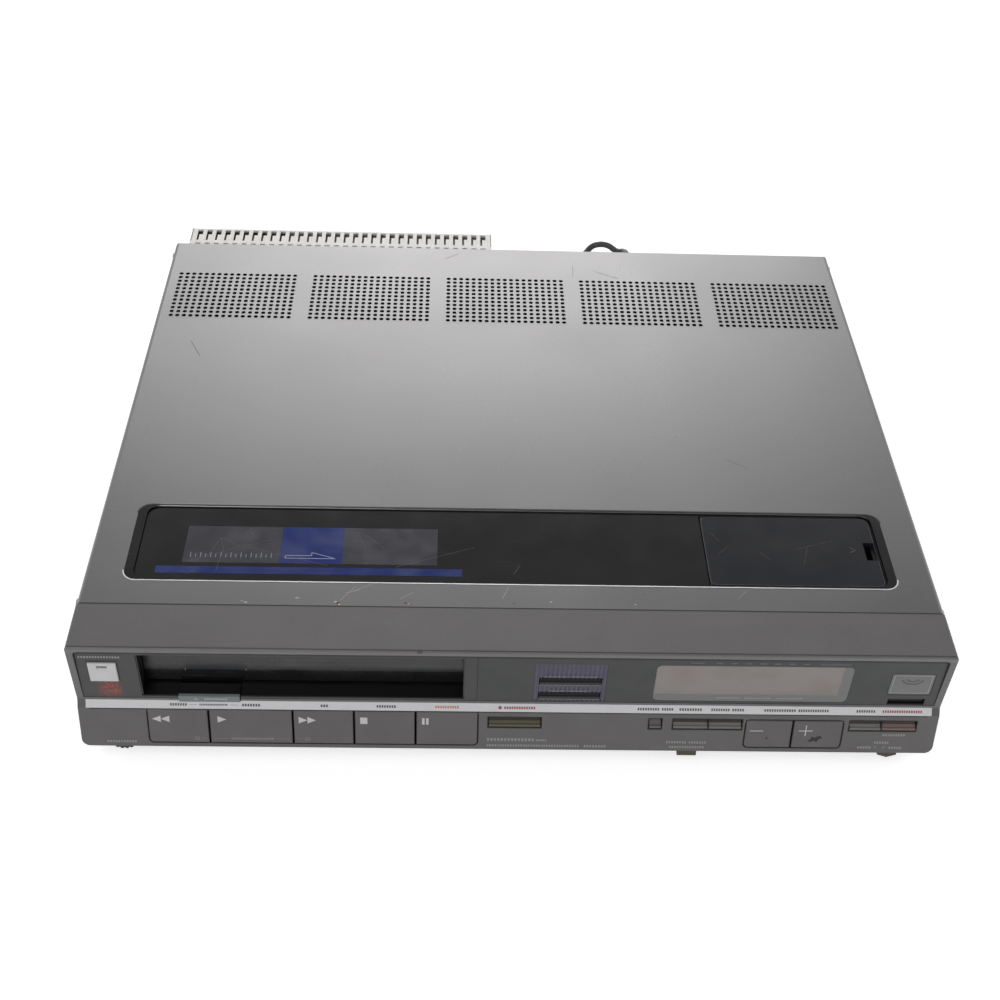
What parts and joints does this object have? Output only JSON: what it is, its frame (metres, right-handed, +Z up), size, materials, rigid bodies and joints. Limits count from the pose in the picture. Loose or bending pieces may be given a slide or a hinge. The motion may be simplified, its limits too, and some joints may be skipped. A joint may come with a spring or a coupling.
{
  "type": "video cassette recorder",
  "caption": "Front-loading half-inch video cassette recorder in gunmetal grey, with sprung cassette door, transport keys, glazed top recess with lid, vented cover, rear cage, lead and plug.",
  "frame": {"origin": "middle of the cabinet's footprint, on the surface that it stands on", "axes": "+X to the right as seen from the front, +Y to the back, +Z up"},
  "size_m": [0.4326, 0.4634, 0.08],
  "materials": {
    "painted_steel": "satin",
    "bare_steel": "satin",
    "cage_enamel": "satin",
    "grey_moulding": "satin",
    "dark_panel": "satin",
    "bright_aluminium": "polished",
    "smoked_glazing": "gloss",
    "clear_glazing": "gloss",
    "black_moulding": "gloss",
    "pale_button": "satin",
    "olive_button": "satin",
    "red_button": "satin",
    "black_rubber": "matte",
    "cord_pvc": "satin",
    "circuit_board": "satin",
    "display_glass": "gloss",
    "machined_metal": "satin",
    "transformer_core": "matte",
    "white_plastic": "satin"
  },
  "bodies": {
    "housing": {"base_chassis": "bare_steel", "carriage_rails": "bare_steel", "cassette_bezel": "dark_panel", "cord_coil": "cord_pvc", "cord_gland": "black_rubber", "deck_plate": "bare_steel", "display_panel": "dark_panel", "display_window": "clear_glazing", "drive_motors": "bare_steel", "fluorescent_display": "display_glass", "front_boards": "circuit_board", "front_fascia": "grey_moulding", "housing_screws": "bare_steel", "lower_drum": "machined_metal", "main_board": "circuit_board", "mains_cord": "cord_pvc", "mains_plug": "cord_pvc", "power_transformer": "transformer_core", "preset_tray": "black_moulding", "rear_cage": "cage_enamel", "rear_panel": "painted_steel", "rear_sockets": "machined_metal", "remote_window": "smoked_glazing", "rubber_feet": "black_rubber", "top_cover": "painted_steel", "top_window": "smoked_glazing", "trim_strip": "bright_aluminium", "tuner_modules": "bare_steel"},
    "rewind_button": {"rewind_button": "grey_moulding"},
    "play_button": {"play_button": "grey_moulding"},
    "fast_forward_button": {"fast_forward_button": "grey_moulding"},
    "stop_button": {"stop_button": "grey_moulding"},
    "pause_button": {"pause_button": "grey_moulding"},
    "record_button": {"record_button": "olive_button"},
    "clock_set_button": {"clock_set_button": "grey_moulding"},
    "check_button": {"check_button": "grey_moulding"},
    "timer_set_button": {"timer_set_button": "grey_moulding"},
    "next_button": {"next_button": "grey_moulding"},
    "timer_record_button": {"timer_record_button": "red_button"},
    "program_down_button": {"program_down_button": "grey_moulding"},
    "program_up_button": {"program_up_button": "grey_moulding"},
    "counter_button": {"counter_button": "grey_moulding"},
    "reset_button": {"reset_button": "grey_moulding"},
    "power_button": {"power_button": "pale_button"},
    "eject_button": {"eject_button": "grey_moulding"},
    "input_slider": {"input_slider": "grey_moulding"},
    "tone_slider": {"tone_slider": "grey_moulding"},
    "tracking_wheel": {"tracking_wheel": "black_moulding"},
    "cassette_door": {"cassette_door": "black_moulding"},
    "preset_lid": {"preset_lid": "smoked_glazing"},
    "tuning_wheel": {"tuning_wheel": "white_plastic"},
    "cassette_carriage": {"cassette_carriage": "bare_steel"},
    "cassette_basket": {"cassette_basket": "machined_metal"},
    "upper_drum": {"upper_drum": "machined_metal"},
    "supply_reel": {"supply_reel": "white_plastic"},
    "take_up_reel": {"take_up_reel": "white_plastic"},
    "threading_ring": {"threading_ring": "machined_metal"},
    "pinch_roller": {"pinch_roller": "black_rubber"},
    "capstan": {"capstan": "machined_metal"},
    "ring_drive_roller": {"ring_drive_roller": "black_rubber"}
  },
  "joints": [
    {"name": "rewind_push", "type": "slide", "parent": "housing", "child": "rewind_button", "axis": [0, 0.9722, -0.234], "range_m": [0, 0.0015], "stiffness_N_per_m": 700, "springref_m": -0.0006},
    {"name": "play_push", "type": "slide", "parent": "housing", "child": "play_button", "axis": [0, 0.9722, -0.234], "range_m": [0, 0.0015], "stiffness_N_per_m": 700, "springref_m": -0.0006},
    {"name": "fast_forward_push", "type": "slide", "parent": "housing", "child": "fast_forward_button", "axis": [0, 0.9722, -0.234], "range_m": [0, 0.0015], "stiffness_N_per_m": 700, "springref_m": -0.0006},
    {"name": "stop_push", "type": "slide", "parent": "housing", "child": "stop_button", "axis": [0, 0.9722, -0.234], "range_m": [0, 0.0015], "stiffness_N_per_m": 700, "springref_m": -0.0006},
    {"name": "pause_push", "type": "slide", "parent": "housing", "child": "pause_button", "axis": [0, 0.9722, -0.234], "range_m": [0, 0.0015], "stiffness_N_per_m": 700, "springref_m": -0.0006},
    {"name": "record_push", "type": "slide", "parent": "housing", "child": "record_button", "axis": [0, 0.9722, -0.234], "range_m": [0, 0.0015], "stiffness_N_per_m": 500, "springref_m": -0.0006},
    {"name": "clock_set_push", "type": "slide", "parent": "housing", "child": "clock_set_button", "axis": [0, 0.9722, -0.234], "range_m": [0, 0.0015], "stiffness_N_per_m": 500, "springref_m": -0.0006},
    {"name": "check_push", "type": "slide", "parent": "housing", "child": "check_button", "axis": [0, 0.9722, -0.234], "range_m": [0, 0.0015], "stiffness_N_per_m": 500, "springref_m": -0.0006},
    {"name": "timer_set_push", "type": "slide", "parent": "housing", "child": "timer_set_button", "axis": [0, 0.9722, -0.234], "range_m": [0, 0.0015], "stiffness_N_per_m": 500, "springref_m": -0.0006},
    {"name": "next_push", "type": "slide", "parent": "housing", "child": "next_button", "axis": [0, 0.9722, -0.234], "range_m": [0, 0.0015], "stiffness_N_per_m": 500, "springref_m": -0.0006},
    {"name": "timer_record_push", "type": "slide", "parent": "housing", "child": "timer_record_button", "axis": [0, 0.9722, -0.234], "range_m": [0, 0.0015], "stiffness_N_per_m": 500, "springref_m": -0.0006},
    {"name": "program_down_push", "type": "slide", "parent": "housing", "child": "program_down_button", "axis": [0, 0.9722, -0.234], "range_m": [0, 0.0015], "stiffness_N_per_m": 500, "springref_m": -0.0006},
    {"name": "program_up_push", "type": "slide", "parent": "housing", "child": "program_up_button", "axis": [0, 0.9722, -0.234], "range_m": [0, 0.0015], "stiffness_N_per_m": 500, "springref_m": -0.0006},
    {"name": "counter_push", "type": "slide", "parent": "housing", "child": "counter_button", "axis": [0, 1, 0], "range_m": [0, 0.0015], "stiffness_N_per_m": 500, "springref_m": -0.0006},
    {"name": "reset_push", "type": "slide", "parent": "housing", "child": "reset_button", "axis": [0, 1, 0], "range_m": [0, 0.0015], "stiffness_N_per_m": 500, "springref_m": -0.0006},
    {"name": "power_push", "type": "slide", "parent": "housing", "child": "power_button", "axis": [0, 1, 0], "range_m": [0, 0.002], "stiffness_N_per_m": 600, "springref_m": -0.0006},
    {"name": "eject_push", "type": "slide", "parent": "housing", "child": "eject_button", "axis": [0, 1, 0], "range_m": [0, 0.0015], "stiffness_N_per_m": 600, "springref_m": -0.0006},
    {"name": "input_slide", "type": "slide", "parent": "housing", "child": "input_slider", "axis": [1, 0, 0], "range_m": [-0.002, 0.002]},
    {"name": "tone_slide", "type": "slide", "parent": "housing", "child": "tone_slider", "axis": [1, 0, 0], "range_m": [-0.002, 0.002]},
    {"name": "tracking_turn", "type": "hinge", "parent": "housing", "child": "tracking_wheel", "pos_m": [-0.1947, -0.18601, 0.01979], "axis": [0, -0.9722, 0.234], "range_deg": [-140, 140]},
    {"name": "door_swing", "type": "hinge", "parent": "housing", "child": "cassette_door", "pos_m": [-0.10355, -0.1716, 0.073], "axis": [1, 0, 0], "range_deg": [0, 88], "stiffness_Nm_per_rad": 0.004, "springref_deg": -20.05},
    {"name": "lid_swing", "type": "hinge", "parent": "housing", "child": "preset_lid", "pos_m": [0.101, -0.11125, 0.0775], "axis": [0, -1, 0], "range_deg": [0, 100]},
    {"name": "tuning_turn", "type": "hinge", "parent": "housing", "child": "tuning_wheel", "pos_m": [0.1205, -0.11125, 0.063], "axis": [0, 0, 1], "range_deg": [-150, 150]},
    {"name": "carriage_slide", "type": "slide", "parent": "housing", "child": "cassette_carriage", "axis": [0, 1, 0], "range_m": [0, 0.06]},
    {"name": "basket_lower", "type": "slide", "parent": "cassette_carriage", "child": "cassette_basket", "axis": [0, 0, -1], "range_m": [0, 0.017]},
    {"name": "drum_spin", "type": "hinge", "parent": "housing", "child": "upper_drum", "pos_m": [-0.10355, 0.0584, 0.04891], "axis": [0, 0.0872, 0.9962], "continuous": true},
    {"name": "supply_spin", "type": "hinge", "parent": "housing", "child": "supply_reel", "pos_m": [-0.14305, -0.0736, 0.029], "axis": [0, 0, 1], "continuous": true},
    {"name": "take_up_spin", "type": "hinge", "parent": "housing", "child": "take_up_reel", "pos_m": [-0.06405, -0.0736, 0.029], "axis": [0, 0, 1], "continuous": true},
    {"name": "ring_turn", "type": "hinge", "parent": "housing", "child": "threading_ring", "pos_m": [-0.10355, 0.0564, 0.032], "axis": [0, 0, 1], "range_deg": [0, 265]},
    {"name": "pinch_spin", "type": "hinge", "parent": "threading_ring", "child": "pinch_roller", "pos_m": [-0.16244, 0.0224, 0.042], "axis": [0, 0, 1], "continuous": true},
    {"name": "capstan_spin", "type": "hinge", "parent": "housing", "child": "capstan", "pos_m": [-0.0408, 0.10034, 0.026], "axis": [0, 0, 1], "continuous": true},
    {"name": "drive_spin", "type": "hinge", "parent": "housing", "child": "ring_drive_roller", "pos_m": [-0.16966, 0.11187, 0.03], "axis": [0, 0, 1], "continuous": true}
  ],
  "couplings": [
    {"joint": "drive_spin", "follows": "ring_turn", "ratio": -6.1667}
  ]
}
